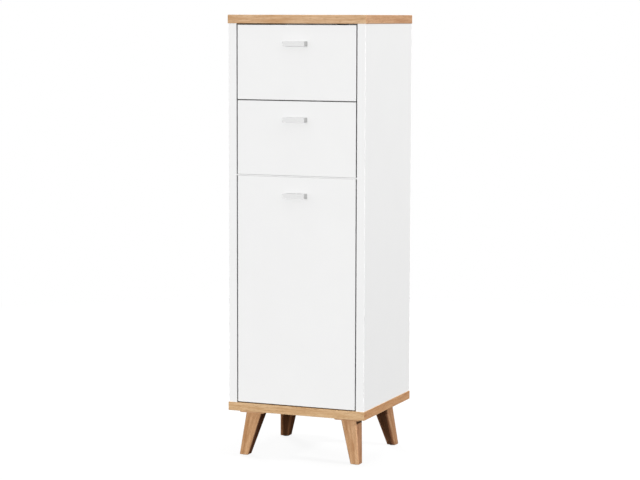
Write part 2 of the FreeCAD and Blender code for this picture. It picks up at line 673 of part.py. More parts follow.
def add_hinge_plate(z):
    """A block under the arm with two screwed wings on the side panel."""
    half = ARM_WIDTH / 2
    tall = HINGE_PLATE_HEIGHT / 2
    x_wing = -x_in + HINGE_PLATE_WING_THICK
    y_wing = y_plate_mid - HINGE_PLATE_WING / 2
    block = box(-x_in, -x_in + HINGE_PLATE_RISE, y_plate, y_plate + HINGE_PLATE_LENGTH, z - half, z + half)
    wings = box(-x_in, x_wing, y_wing, y_wing + HINGE_PLATE_WING, z - tall, z + tall)
    pieces["hinge_plates"].append(block.fuse(wings).removeSplitter())
    for sign in (-1, 1):
        point = Vector(x_wing, y_plate_mid, z + sign * HINGE_SCREW_SPACING / 2)
        flat_screw("cabinet_screws", point, X * -1, HINGE_SCREW_LENGTH, ["hinge_plates", "left_side"])


def add_door_stop(z):
    y0 = y_behind + RUN_CLEAR
    half = STOP_HEIGHT / 2
    block = box(x_in - STOP_REACH, x_in, y0, y0 + STOP_DEPTH, z - half, z + half)
    inner = [e for e in upright_edges(block) if e.CenterOfMass.x < x_in - STOP_REACH / 2]
    pieces["door_stops"].append(block.makeFillet(EDGE_ROUND, inner))
    point = Vector(x_in - STOP_REACH, y0 + STOP_DEPTH / 2, z)
    sunk_screw("cabinet_screws", point, X, STOP_SCREW_LENGTH, ["door_stops", "right_side"])


# Wall bracket: an angle under the top panel, with a hole through the back for the wall screw
def build_wall_bracket():
    half = BRACKET_WIDTH / 2
    flat = box(-half, half, y_inner_back - BRACKET_LEG, y_inner_back, z_ceiling - BRACKET_THICK, z_ceiling)
    upright = box(-half, half, y_inner_back - BRACKET_THICK, y_inner_back, z_ceiling - BRACKET_LEG, z_ceiling)
    pieces["wall_bracket"].append(flat.fuse(upright).removeSplitter())
    for sign in (-1, 1):
        x = sign * BRACKET_SCREW_SPACING / 2
        point = Vector(x, y_inner_back - BRACKET_HOLE_INSET, z_ceiling - BRACKET_THICK)
        flat_screw("cabinet_screws", point, Z, BRACKET_SCREW_LENGTH, ["wall_bracket", "top_panel"])
    start = Vector(0, y_inner_back - BRACKET_THICK, z_ceiling - BRACKET_HOLE_INSET)
    drill(["wall_bracket", "back_panel"], rod(WALL_HOLE, start, Y, BRACKET_THICK + BACK_THICK))


def export_pieces():
    os.makedirs("parts", exist_ok=True)
    for node, solids in pieces.items():
        tools = holes[node]
        if tools:
            solids = [solid.cut(tools) for solid in solids]
        shape = solids[0] if len(solids) == 1 else Part.makeCompound(solids)
        shape.exportStep("parts/" + node + ".step")


build_body()
build_shelves()
join_body()
build_legs()
build_drawer("upper_drawer", upper_z)
build_drawer("lower_drawer", lower_z)
build_door()
build_wall_bracket()
export_pieces()
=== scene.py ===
# Bathroom side cabinet: a white body between an oak top and base, two drawers over a door, four oak legs.
# Metres, +Z up, front towards -Y. The sections follow the cabinet as it is put together.
import math

import bpy
import numpy as np
from mathutils import Matrix, Vector


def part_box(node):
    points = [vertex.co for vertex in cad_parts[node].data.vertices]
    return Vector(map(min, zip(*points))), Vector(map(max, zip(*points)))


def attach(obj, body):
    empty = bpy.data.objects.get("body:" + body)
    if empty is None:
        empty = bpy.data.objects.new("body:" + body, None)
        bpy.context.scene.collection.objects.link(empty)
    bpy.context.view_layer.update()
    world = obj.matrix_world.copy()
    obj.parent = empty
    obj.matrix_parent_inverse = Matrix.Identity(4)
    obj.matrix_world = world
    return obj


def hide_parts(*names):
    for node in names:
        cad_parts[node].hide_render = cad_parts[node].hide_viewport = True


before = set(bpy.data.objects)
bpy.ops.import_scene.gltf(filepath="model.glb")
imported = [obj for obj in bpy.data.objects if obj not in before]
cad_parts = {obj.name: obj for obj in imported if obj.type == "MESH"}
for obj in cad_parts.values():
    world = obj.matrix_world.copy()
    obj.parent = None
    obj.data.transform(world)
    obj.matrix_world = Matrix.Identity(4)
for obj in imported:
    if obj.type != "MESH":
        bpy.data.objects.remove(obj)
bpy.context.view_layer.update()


# Top and base: chipboard wrapped in an oak-pattern foil, held to the sides by cams and dowels.
# Each edge has its own strip of the same oak, so the grain runs along every edge.
OAK_PALE = (0.745, 0.525, 0.331, 1)
OAK_DEEP = (0.520, 0.296, 0.147, 1)
OAK_PORE = (0.300, 0.153, 0.067, 1)
OAK_SEAM = (0.360, 0.220, 0.115, 1)
OAK_SEAM_SHARE = 0.6
EDGE_STRIP = 0.0008
SEAM_WIDTH = 0.00018
# Noise for the lines of the oak: cells per metre along the grain and across it, and its detail.
OAK_SWAY = (7, 16, 1)
OAK_BANDS = (5, 60, 1)
OAK_VEINS = (14, 190, 1)
OAK_FIBRES = (30, 900, 2)
OAK_PORES = (75, 1900, 0)
# The part of the noise's range that is stretched to go from 0 to 1.
FIGURE_SPREAD = (0.34, 0.66)
FIBRE_SPREAD = (0.28, 0.72)
PORE_SPREAD = (0.60, 0.72)
SWAY_MIDDLE = (0.5, 0.5, 0.5)
SWAY_REACH = (0, 0.012, 0.012)
VEIN_SHARE = 0.6
FIBRE_SHARE = 0.25
PORE_SHARE = 0.55
PORE_DEPTH = 0.6
# How far a face looks sideways where it starts to count as an end edge, and where it wholly does.
END_TURN = (0.70, 0.72)
# Roughness beside the pores and in them, then the bump's strength and its depth.
OAK_ROUGH = (0.48, 0.65)
OAK_BUMP = (0.35, 0.0001)
OAK_SHEEN = 0.18
# The last colour of each board is painted shade that darkens its two end edges below the front edge.
OAK_BOARDS = {
    "top_panel": {"shift": (0.3, 0.1, 0.7), "blue": 1.0, "painted_end_shade": (0.887, 0.755, 0.670, 1)},
    "base_panel": {"shift": (1.9, 0.6, 0.2), "blue": 0.93, "painted_end_shade": (0.842, 0.670, 0.535, 1)},
}


def add(tree, kind, inputs=None, **settings):
    """Adds a shader node. Each input gets a value, or a link where the value is another node's output."""
    made = tree.nodes.new("ShaderNode" + kind)
    for key, value in settings.items():
        setattr(made, key, value)
    for key, value in (inputs or {}).items():
        if isinstance(value, bpy.types.NodeSocket):
            tree.links.new(value, made.inputs[key])
        else:
            made.inputs[key].default_value = value
    return made


def worked(tree, how, first, second=0.0):
    """One number from one or two others, by the Math operation of that name."""
    return add(tree, "Math", {0: first, 1: second}, operation=how).outputs[0]


def worked_vector(tree, how, first, second):
    """One vector from two, by the Vector Math operation of that name."""
    return add(tree, "VectorMath", {0: first, 1: second}, operation=how).outputs[0]


def mixed(tree, share, first, second):
    """The first colour turning into the second as share goes from 0 to 1."""
    return add(tree, "Mix", {0: share, 6: first, 7: second}, data_type="RGBA").outputs[2]


def mixed_value(tree, share, first, second):
    """The first number turning into the second as share goes from 0 to 1."""
    return add(tree, "Mix", {0: share, 2: first, 3: second}).outputs[0]


def tinted(tree, share, colour, tint):
    """The colour, multiplied by the tint as share goes from 0 to 1."""
    inputs = {0: share, 6: colour, 7: tint}
    return add(tree, "Mix", inputs, data_type="RGBA", blend_type="MULTIPLY").outputs[2]


def ranged(tree, value, low, high, to_low=0.0, to_high=1.0):
    """The value stretched so that low becomes to_low and high becomes to_high, held there beyond them."""
    limits = {"Value": value, "From Min": low, "From Max": high, "To Min": to_low, "To Max": to_high}
    return add(tree, "MapRange", limits).outputs[0]


def streaks(tree, place, along, across, detail):
    """Noise drawn out along the first axis, with that many cells per metre along it and across it."""
    drawn = add(tree, "Mapping", {"Vector": place, "Scale": (along, across, across)})
    return add(tree, "TexNoise", {"Vector": drawn.outputs[0], "Scale": 1.0, "Detail": detail})


def sideways(tree, normal):
    """How far a face looks to the left or the right: the size of its normal along X."""
    return worked(tree, "ABSOLUTE", add(tree, "SeparateXYZ", {0: normal}).outputs[0])


def new_group(name, inputs, outputs):
    """An empty shader node group with the named sockets. Gives its tree, its inputs and its end node."""
    tree = bpy.data.node_groups.new(name, "ShaderNodeTree")
    for socket, kind in inputs:
        tree.interface.new_socket(socket, in_out="INPUT", socket_type="NodeSocket" + kind)
    for socket, kind in outputs:
        tree.interface.new_socket(socket, in_out="OUTPUT", socket_type="NodeSocket" + kind)
    return tree, tree.nodes.new("NodeGroupInput").outputs, tree.nodes.new("NodeGroupOutput")


def make_oak_figure():
    """Oak along the first axis of Place: wide bands, narrow veins, fine fibres and short dark pores.

    Each is noise drawn out along the grain, on lines that sway a little from side to side."""
    tree, given, end = new_group(
        "oak_figure",
        [("Place", "Vector"), ("Pale", "Color"), ("Deep", "Color"), ("Pore", "Color")],
        [("Color", "Color"), ("Pores", "Float"), ("Height", "Float")],
    )
    sway = streaks(tree, given["Place"], *OAK_SWAY).outputs["Color"]
    centred = worked_vector(tree, "SUBTRACT", sway, SWAY_MIDDLE)
    wander = worked_vector(tree, "MULTIPLY", centred, SWAY_REACH)
    place = worked_vector(tree, "ADD", given["Place"], wander)
    bands = streaks(tree, place, *OAK_BANDS).outputs[0]
    veins = streaks(tree, place, *OAK_VEINS).outputs[0]
    fibres = ranged(tree, streaks(tree, place, *OAK_FIBRES).outputs[0], *FIBRE_SPREAD)
    pores = ranged(tree, streaks(tree, place, *OAK_PORES).outputs[0], *PORE_SPREAD)
    figure = ranged(tree, mixed_value(tree, VEIN_SHARE, bands, veins), *FIGURE_SPREAD)
    tone = mixed_value(tree, FIBRE_SHARE, figure, fibres)
    body = mixed(tree, tone, given["Deep"], given["Pale"])
    darkened = worked(tree, "MULTIPLY", pores, PORE_SHARE)
    raised = mixed_value(tree, PORE_DEPTH, fibres, ranged(tree, pores, 0, 1, 1, 0))
    tree.links.new(mixed(tree, darkened, body, given["Pore"]), end.inputs["Color"])
    tree.links.new(pores, end.inputs["Pores"])
    tree.links.new(raised, end.inputs["Height"])
    return tree


def make_edge_seam():
    """A hairline on a board's wide faces where the edge strip meets the foil: 1 on it and 0 elsewhere.

    It lies where the least gap from Place to the box between Low and High is as wide as the strip."""
    tree, given, end = new_group(
        "edge_seam", [("Place", "Vector"), ("Low", "Vector"), ("High", "Vector")], [("Seam", "Float")]
    )
    above = worked_vector(tree, "SUBTRACT", given["Place"], given["Low"])
    below = worked_vector(tree, "SUBTRACT", given["High"], given["Place"])
    gaps = add(tree, "SeparateXYZ", {0: worked_vector(tree, "MINIMUM", above, below)}).outputs
    least = worked(tree, "MINIMUM", worked(tree, "MINIMUM", gaps[0], gaps[1]), gaps[2])
    apart = worked(tree, "ABSOLUTE", worked(tree, "SUBTRACT", least, EDGE_STRIP))
    tree.links.new(ranged(tree, apart, 0, SEAM_WIDTH, 1, 0), end.inputs["Seam"])
    return tree


oak_figure = make_oak_figure()
edge_seam = make_edge_seam()


def new_material(name):
    """A material with one Principled shader. Gives the material, its tree and the shader."""
    material = bpy.data.materials.new(name)
    material.use_nodes = True
    return material, material.node_tree, material.node_tree.nodes["Principled BSDF"]


def dress(material, *nodes):
    """Puts the material on the CAD nodes."""
    for name in nodes:
        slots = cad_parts[name].data.materials
        slots.clear()
        slots.append(material)


def bumped(tree, shader, height, strength, depth):
    """Raises the shader's surface by the height, depth metres at most."""
    bump = add(tree, "Bump", {"Height": height, "Strength": strength, "Distance": depth})
    tree.links.new(bump.outputs[0], shader.inputs["Normal"])


def seam_of(tree, place, node):
    """The hairline of that board. Its thin direction is left out, so that only its wide faces have one."""
    low, high = (np.array(corner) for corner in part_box(node))
    thin = np.argmin(high - low)
    low[thin] -= 1
    high[thin] += 1
    sides = {"Place": place, "Low": tuple(low), "High": tuple(high)}
    return add(tree, "Group", sides, node_tree=edge_seam).outputs["Seam"]


def oak_board(node, shift, blue, painted_end_shade):
    """Oak foil whose grain runs along X, and along Y on the two end edges.

    Shift moves to another part of the figure, and blue scales that part of the colours. The end edges are
    darkened by a painted shade, the board's own end colour."""
    material, tree, shader = new_material("oak_" + node)
    where = add(tree, "TexCoord").outputs
    is_end = ranged(tree, sideways(tree, where["Normal"]), *END_TURN)
    parts = add(tree, "SeparateXYZ", {0: where["Object"]}).outputs
    swapped = add(tree, "CombineXYZ", {0: parts[1], 1: parts[0], 2: parts[2]}).outputs[0]
    lines = add(tree, "Mix", {0: is_end, 4: where["Object"], 5: swapped}, data_type="VECTOR").outputs[1]
    place = add(tree, "Mapping", {"Vector": lines, "Location": shift}).outputs[0]
    pale, deep, pore = (np.multiply(colour, (1, 1, blue, 1)) for colour in (OAK_PALE, OAK_DEEP, OAK_PORE))
    colours = {"Place": place, "Pale": pale, "Deep": deep, "Pore": pore}
    figure = add(tree, "Group", colours, node_tree=oak_figure).outputs
    # Painted shade: the end edges are darkened by the board's end colour.
    face = tinted(tree, is_end, figure["Color"], painted_end_shade)
    seam = worked(tree, "MULTIPLY", seam_of(tree, where["Object"], node), OAK_SEAM_SHARE)
    tree.links.new(mixed(tree, seam, face, OAK_SEAM), shader.inputs["Base Color"])
    tree.links.new(ranged(tree, figure["Pores"], 0, 1, *OAK_ROUGH), shader.inputs["Roughness"])
    shader.inputs["Specular IOR Level"].default_value = OAK_SHEEN
    bumped(tree, shader, figure["Height"], *OAK_BUMP)
    return material


for node, wood in OAK_BOARDS.items():
    dress(oak_board(node, **wood), node)


# Sides and shelves: chipboard with a matt white melamine face of fine pearl grain and white edge strips.
# The sides stand between the oak boards, and the fixed shelf parts the drawers from the cupboard.
# The other shelf rests on pins.
WHITE = (0.880, 0.880, 0.878, 1)
WHITE_SHADE = (0.862, 0.862, 0.860, 1)
WHITE_SEAM = (0.640, 0.640, 0.635, 1)
WHITE_SEAM_SHARE = 0.5
WHITE_CELLS = 1400.0
WHITE_ROUGH = (0.40, 0.48)
WHITE_SHEEN = 0.35
WHITE_BUMP = (0.12, 0.00008)
# Cells per metre of the slow drift and its detail, which the small pebble shares.
DRIFT_CELLS = 9.0
SKIN_DETAIL = 2.0
DRIFT_SPREAD = (0.3, 0.7)
SPECK_SPREAD = (0.35, 0.65)
SPECK_SHARE = 0.35


def even_noise(tree, place, cells, detail, roughness=0.5):
    """Noise that is alike in all directions, with that many cells per metre."""
    inputs = {"Vector": place, "Scale": cells, "Detail": detail, "Roughness": roughness}
    return add(tree, "TexNoise", inputs).outputs[0]


def make_fine_skin():
    """A fine grain on a smooth face: Tone drifts slowly with small specks in it, Height is their pebble."""
    tree, given, end = new_group(
        "fine_skin", [("Place", "Vector"), ("Cells", "Float")], [("Tone", "Float"), ("Height", "Float")]
    )
    drift = ranged(tree, even_noise(tree, given["Place"], DRIFT_CELLS, SKIN_DETAIL), *DRIFT_SPREAD)
    pebble = even_noise(tree, given["Place"], given["Cells"], SKIN_DETAIL)
    tone = mixed_value(tree, SPECK_SHARE, drift, ranged(tree, pebble, *SPECK_SPREAD))
    tree.links.new(tone, end.inputs["Tone"])
    tree.links.new(pebble, end.inputs["Height"])
    return tree


fine_skin = make_fine_skin()


def white_board(node):
    """White melamine with a faint drift of tone and the seam of its edge strips."""
    material, tree, shader = new_material("white_" + node)
    place = add(tree, "TexCoord").outputs["Object"]
    skin = add(tree, "Group", {"Place": place, "Cells": WHITE_CELLS}, node_tree=fine_skin).outputs
    face = mixed(tree, skin["Tone"], WHITE_SHADE, WHITE)
    seam = worked(tree, "MULTIPLY", seam_of(tree, place, node), WHITE_SEAM_SHARE)
    tree.links.new(mixed(tree, seam, face, WHITE_SEAM), shader.inputs["Base Color"])
    tree.links.new(ranged(tree, skin["Tone"], 0, 1, *WHITE_ROUGH), shader.inputs["Roughness"])
    shader.inputs["Specular IOR Level"].default_value = WHITE_SHEEN
    bumped(tree, shader, skin["Height"], *WHITE_BUMP)
    return material


for node in ("left_side", "right_side", "fixed_shelf", "adjustable_shelf"):
    dress(white_board(node), node)


# Back and drawer bottoms: thin hardboard, painted white on the side that is seen and raw on the other.
# They slide into grooves in the boards around them.
RAW_PALE = (0.400, 0.262, 0.155, 1)
RAW_DEEP = (0.265, 0.162, 0.090, 1)
PAINT_CELLS = 900.0
# Even noise for the matted fibre: cells per metre, detail and roughness.
FIBRE_MAT = (420.0, 5.0, 0.7)
MAT_SPREAD = (0.35, 0.65)
RAW_TURN = (0.6, 0.7)
PAINT_TO_RAW_ROUGH = (0.5, 0.85)
RAW_BUMP = (0.2, 0.0001)


def facing(tree, normal, way):
    """How far a face looks that way: the dot product of its normal and the way."""
    return add(tree, "VectorMath", {0: normal, 1: way}, operation="DOT_PRODUCT").outputs["Value"]


def hardboard(name, raw_side):
    """White paint on hardboard, with bare matted fibre on the faces that look towards raw_side."""
    material, tree, shader = new_material(name)
    where = add(tree, "TexCoord").outputs
    is_raw = ranged(tree, facing(tree, where["Normal"], raw_side), *RAW_TURN)
    skin = add(tree, "Group", {"Place": where["Object"], "Cells": PAINT_CELLS}, node_tree=fine_skin).outputs
    mat = even_noise(tree, where["Object"], *FIBRE_MAT)
    fibre = mixed(tree, ranged(tree, mat, *MAT_SPREAD), RAW_DEEP, RAW_PALE)
    paint = mixed(tree, skin["Tone"], WHITE_SHADE, WHITE)
    tree.links.new(mixed(tree, is_raw, paint, fibre), shader.inputs["Base Color"])
    tree.links.new(ranged(tree, is_raw, 0, 1, *PAINT_TO_RAW_ROUGH), shader.inputs["Roughness"])
    bumped(tree, shader, mat, *RAW_BUMP)
    return material


dress(hardboard("hardboard_back", (0, 1, 0)), "back_panel")
dress(hardboard("hardboard_bottom", (0, 0, -1)), "upper_drawer_bottom", "lower_drawer_bottom")


# Knock-down fittings: beech dowels and steel bolts in the board edges, drawn tight by zinc cams.
# Zinc plate has a slightly cloudy blue-grey skin, the castings are duller.
ZINC_PALE = (0.640, 0.650, 0.665, 1)
ZINC_DEEP = (0.480, 0.485, 0.495, 1)
ZINC_ROUGH = (0.28, 0.42)
CAST_PALE = (0.560, 0.560, 0.570, 1)
CAST_DEEP = (0.400, 0.400, 0.410, 1)
CAST_ROUGH = (0.45, 0.60)
# Even noise for the clouds: cells per metre, detail and roughness.
PLATE_CLOUDS = (260.0, 4.0, 0.6)
CLOUD_SPREAD = (0.3, 0.7)
PLATE_BUMP = (0.1, 0.00005)
BEECH_PALE = (0.700, 0.490, 0.310, 1)
BEECH_DEEP = (0.560, 0.360, 0.205, 1)
BEECH_FLECKS = (300, 900, 2)
FLECK_SPREAD = (0.35, 0.65)
BEECH_ROUGH = (0.6, 0.7)
SHARP_BEND = math.radians(35)
TURN_STEPS = 32
DRIVE_WALL = 0.0002
CAM_SUNK = 0.0006
CAM_EASE = 0.0006
CAM_SLOT = 0.0025
# Shares of the cam's radius: rows of the face, the rim's start, and the slot's half width and reach.
CAM_FACE_SHARES = np.linspace(0.03, 0.84, 14)
CAM_RIM_SHARE = 0.86
CAM_SLOT_SHARES = (0.14, 0.62)
BOLT_BITE = 0.011
BOLT_HEAD = 0.004
BOLT_PITCH = 0.0016
BOLT_POINT = 0.001
BOLT_RUN_OUT = 0.0005
BOLT_ROWS = 28
# Shares of the radius of the bolt's head.
BOLT_TIP_SHARE = 0.3
BOLT_CORE_SHARE = 0.62
BOLT_RIDGE_SHARE = 0.13
BOLT_SHANK_SHARE = 0.83


def plated(name, pale, deep, smooth, rough):
    """Metal with a cloudy plated or cast skin: colour and roughness both follow the same small clouds."""
    material, tree, shader = new_material(name)
    place = add(tree, "TexCoord").outputs["Object"]
    clouds = even_noise(tree, place, *PLATE_CLOUDS)
    share = ranged(tree, clouds, *CLOUD_SPREAD)
    tree.links.new(mixed(tree, share, deep, pale), shader.inputs["Base Color"])
    tree.links.new(ranged(tree, share, 0, 1, rough, smooth), shader.inputs["Roughness"])
    shader.inputs["Metallic"].default_value = 1.0
    bumped(tree, shader, clouds, *PLATE_BUMP)
    return material


def beech():
    """Plain beech rod with short pale flecks."""
    material, tree, shader = new_material("beech_rod")
    place = add(tree, "TexCoord").outputs["Object"]
    flecks = ranged(tree, streaks(tree, place, *BEECH_FLECKS).outputs[0], *FLECK_SPREAD)
    tree.links.new(mixed(tree, flecks, BEECH_DEEP, BEECH_PALE), shader.inputs["Base Color"])
    tree.links.new(ranged(tree, flecks, 0, 1, *BEECH_ROUGH), shader.inputs["Roughness"])
    return material


def islands(node):
    """The separate solids of a CAD node, one array of points for each.

    Points at the same place count as one. Each starts with its own label, and the least label spreads along
    the edges until every solid has a single one."""
    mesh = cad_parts[node].data
    places = np.empty(len(mesh.vertices) * 3)
    mesh.vertices.foreach_get("co", places)
    ends = np.empty(len(mesh.edges) * 2, dtype=int)
    mesh.edges.foreach_get("vertices", ends)
    points, same = np.unique(places.reshape(-1, 3).round(6), axis=0, return_inverse=True)
    ends = same.ravel()[ends].reshape(-1, 2)
    label = np.arange(len(points))
    before = None
    while not np.array_equal(before, label):
        before = label.copy()
        least = label[ends].min(axis=1)
        np.minimum.at(label, ends[:, 0], least)
        np.minimum.at(label, ends[:, 1], least)
        label = label[label]
    return [points[label == one] for one in np.unique(label)]


def ring_faces(rows, columns, closed):
    """Quads between rows of points that close on themselves.

    A closed run joins its last row to its first. An open one gets a fan over each end to a middle point."""
    row, column = np.meshgrid(np.arange(rows if closed else rows - 1), np.arange(columns), indexing="ij")
    here = row * columns
    below = (row + 1) % rows * columns
    after = (column + 1) % columns
    quads = np.stack([here + column, here + after, below + after, below + column], axis=-1).reshape(-1, 4)
    if closed:
        return [quads]
    first = np.arange(columns)
    following = (first + 1) % columns
    last = (rows - 1) * columns
    near = np.stack([following, first, np.full(columns, rows * columns)], axis=-1)
    far = np.stack([last + first, last + following, np.full(columns, rows * columns + 1)], axis=-1)
    return [quads, near, far]


def shell(rings, closed=False):
    """A closed skin over rings of points, an array of rows by columns by 3: its points and its faces."""
    ends = np.stack([rings[0].mean(axis=0), rings[-1].mean(axis=0)])
    points = rings.reshape(-1, 3)
    return points if closed else np.concatenate([points, ends]), ring_faces(*rings.shape[:2], closed)


def new_piece(name, shells, material, body, slot, *nodes):
    """One object from closed skins that rides on the body and stands for the nodes. The slot is not used.
    """
    starts = np.cumsum([0] + [len(points) for points, faces in shells])
    faces = [(part + start).tolist() for (points, parts), start in zip(shells, starts) for part in parts]
    mesh = bpy.data.meshes.new(name)
    mesh.from_pydata(np.concatenate([points for points, parts in shells]), [], sum(faces, []))
    mesh.shade_smooth()
    mesh.set_sharp_from_angle(angle=SHARP_BEND)
    mesh.materials.append(material)
    piece = bpy.data.objects.new(name, mesh)
    bpy.context.scene.collection.objects.link(piece)
    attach(piece, body)
    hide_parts(*nodes)
    return piece


def turned(start, axis, profile, drive=None, thread=None):
    """Rings of a turned piece: each depth and radius of the profile, carried round the axis from the start.

    A drive sinks a cross of that half width, reach and depth into the rows before the widest one. A thread
    is a ridge of that height and pitch between two depths: a triangle wave that winds round the axis."""
    angle = np.linspace(0, 2 * math.pi, TURN_STEPS, endpoint=False)
    depth, radius = (np.repeat(column[:, None], TURN_STEPS, axis=1) for column in np.asarray(profile).T)
    if drive:
        half_width, reach, sink = drive
        offsets = np.abs(radius * np.stack([np.cos(angle), np.sin(angle)])[:, None])
        beside = np.clip((half_width - offsets.min(axis=0)) / DRIVE_WALL, 0, 1)
        within = np.clip((reach - offsets.max(axis=0)) / DRIVE_WALL, 0, 1)
        on_face = np.arange(len(profile))[:, None] < np.argmax(radius[:, 0])
        depth = depth + sink * beside * within * on_face
    if thread:
        height, pitch, first, last = thread
        wave = (depth / pitch - angle / (2 * math.pi)) % 1
        radius = radius + height * np.abs(2 * wave - 1) * (depth > first) * (depth < last)
    side = np.roll(axis, 1)
    out = np.cos(angle)[:, None] * side + np.sin(angle)[:, None] * np.cross(axis, side)
    return start + depth[:, :, None] * axis + radius[:, :, None] * out


def odd_side(points):
    """The middle and sizes of a turned solid, and the axis it was turned on: the side unlike the others."""
    size = np.ptp(points, axis=0)
    return (points.min(axis=0) + points.max(axis=0)) / 2, size, np.argmax(np.abs(size - np.median(size)))


def cam(points, outward):
    """A cam: a puck with a raised rim round its sunk face and a cross slot.

    One that lies upright faces down. The others face away from the middle of the cabinet where outward is
    1, and towards it where outward is -1."""
    middle, size, along = odd_side(points)
    axis = np.zeros(3)
    axis[along] = 1 if along == 2 else -outward * np.sign(middle[0])
    radius = np.delete(size, along).max() / 2
    deep = size[along]
    face = [(CAM_SUNK, share * radius) for share in CAM_FACE_SHARES]
    rim = [(0, CAM_RIM_SHARE * radius), (0, radius - CAM_EASE)]
    rounded = [(CAM_EASE / 3, radius - CAM_EASE / 3), (CAM_EASE, radius)]
    back = [(deep - CAM_EASE, radius), (deep, radius - CAM_EASE)]
    half_width, reach = (share * radius for share in CAM_SLOT_SHARES)
    start = middle - axis * deep / 2
    return shell(turned(start, axis, face + rim + rounded + back, (half_width, reach, CAM_SLOT)))


def cam_bolt(points):
    """A bolt from a drawer front into a cam: a coarse thread, a collar, a plain shank and a round head."""
    middle, size, along = odd_side(points)
    axis = np.array([0.0, 1.0, 0.0])
    head = np.delete(size, along).max() / 2
    shank = BOLT_SHANK_SHARE * head
    length = size[1]
    neck = length - BOLT_HEAD
    cut = [(depth, BOLT_CORE_SHARE * head) for depth in np.linspace(BOLT_POINT, BOLT_BITE, BOLT_ROWS)]
    stem = [(BOLT_BITE, shank), (neck, shank), (neck, head)]
    end = [(length - CAM_EASE, head), (length, head - CAM_EASE)]
    profile = [(0, BOLT_TIP_SHARE * head)] + cut + stem + end
    first, last = BOLT_POINT + BOLT_RUN_OUT, BOLT_BITE - BOLT_RUN_OUT
    thread = (BOLT_RIDGE_SHARE * head, BOLT_PITCH, first, last)
    return shell(turned(middle - axis * length / 2, axis, profile, thread=thread))


zinc_plate = plated("zinc_plate", ZINC_PALE, ZINC_DEEP, *ZINC_ROUGH)
zinc_cast = plated("zinc_cast", CAST_PALE, CAST_DEEP, *CAST_ROUGH)
dress(beech(), "wood_dowels")
dress(zinc_plate, "cam_bolts", "leg_bolts", "wall_bracket")
shells = [cam(points, -1) for points in islands("cam_locks")]
new_piece("slotted_cams", shells, zinc_cast, "cabinet", "zinc_cast", "cam_locks")
for drawer in ("upper_drawer", "lower_drawer"):
    node = drawer + "_cams"
    shells = [cam_bolt(points) if odd_side(points)[2] == 1 else cam(points, 1) for points in islands(node)]
    new_piece(drawer + "_slotted_cams", shells, zinc_cast, drawer, "zinc_cast", node)


# Legs: solid oak, square in section, tapered and splayed outwards on both axes, with softly rounded edges.
# Each stands on a nailed plastic glide and turns on a bolt into an oak plate screwed under the base.
# Each is cut from another plank, so it has its own tone, and its inner faces carry a painted tint of light
# and shade of their own.
LEG_TOP = 0.043
LEG_FOOT = 0.0246
LEG_CORNER = 0.0035
FOOT_EASE = 0.0012
CORNER_STEPS = 7
FLAT_HOLD = 0.12
EASE_STEPS = 4
LEG_ROWS = 12
LEG_PALE = (0.683, 0.423, 0.236, 1)
LEG_DEEP = (0.402, 0.199, 0.089, 1)
LEG_PORE = (0.220, 0.095, 0.036, 1)
# Painted shade: the left and right faces of each leg are darkened by this colour.
LEG_SIDE_SHADE = (0.86, 0.79, 0.82, 1)
# The inner tint of each leg is painted light and shade on its faces under the cabinet: lighter and redder
# on three legs, darker on the rear left.
LEG_WOODS = {
    "leg_front_left": {"tone": (0.995, 0.975, 0.950, 1), "inner_painted_light": (1.32, 1.06, 1.02, 1)},
    "leg_front_right": {"tone": (1.030, 1.050, 1.080, 1), "inner_painted_light": (1.25, 0.98, 0.92, 1)},
    "leg_rear_left": {"tone": (1.000, 1.000, 1.000, 1), "inner_painted_light": (0.92, 0.72, 0.64, 1)},
    "leg_rear_right": {"tone": (1.020, 1.045, 1.050, 1), "inner_painted_light": (1.34, 1.06, 1.05, 1)},
}
LEG_SHIFT = np.array([0.37, 0.11, 0.23])
LEG_SIDE_TURN = (0.55, 0.85)
LEG_INNER_TURN = (-0.55, -0.85)
LEG_ROUGH = (0.46, 0.68)
LEG_BUMP = (0.45, 0.00015)
PLATE_ROUGH = (0.55, 0.75)
MOULD_CELLS = 2200.0
MOULD_SPREAD = 0.08
MOULD_BUMP = (0.15, 0.00006)
GLIDE_PALE = (0.80, 0.79, 0.76, 1)
GLIDE_DEEP = (0.72, 0.71, 0.68, 1)
GLIDE_ROUGH = 0.4


def rounded_square():
    """A square of half width 1 as corner centres and directions.

    A point is half less radius times the centre, plus radius times the direction. A point beside each
    quarter circle holds the flat, and the four corners are the first one turned anticlockwise."""
    turn = np.linspace(0, math.pi / 2, CORNER_STEPS)
    beside = 1 - FLAT_HOLD
    centres = np.array([(1, beside)] + [(1, 1)] * CORNER_STEPS + [(beside, 1)])
    directions = np.stack([np.cos(turn), np.sin(turn)], axis=-1)
    directions = np.concatenate([directions[:1], directions, directions[-1:]])
    quarters = np.array([[(1, 0), (0, 1)], [(0, 1), (-1, 0)], [(-1, 0), (0, -1)], [(0, -1), (1, 0)]])
    return (centres @ quarters).reshape(-1, 2), (directions @ quarters).reshape(-1, 2)


def leg_shape(foot, top):
    """Rings of a tapered leg: the centre goes straight from foot to top while the half width grows evenly.

    The lowest rings draw in along a quarter circle. Also gives each point's place along the grain and
    across it."""
    height = top[2] - foot[2]
    ease = np.linspace(0, math.pi / 2, EASE_STEPS)
    drawn_in = np.concatenate([FOOT_EASE * (1 - np.sin(ease)), np.zeros(LEG_ROWS)])
    shaft = np.linspace(FOOT_EASE, height, LEG_ROWS + 1)[1:]
    share = np.concatenate([FOOT_EASE * (1 - np.cos(ease)), shaft]) / height
    middle = foot + share[:, None] * (top - foot)
    half = (LEG_FOOT + share * (LEG_TOP - LEG_FOOT)) / 2 - drawn_in
    radius = LEG_CORNER - drawn_in
    centres, directions = rounded_square()
    flat = centres * (half - radius)[:, None, None] + directions * radius[:, None, None]
    across = np.concatenate([flat, np.zeros(flat.shape[:2] + (1,))], axis=-1)
    rings = middle[:, None, :] + across
    length = np.linalg.norm(top - foot) * share
    grain = np.concatenate([np.broadcast_to(length[:, None, None], flat.shape[:2] + (1,)), flat], axis=-1)
    return rings, grain


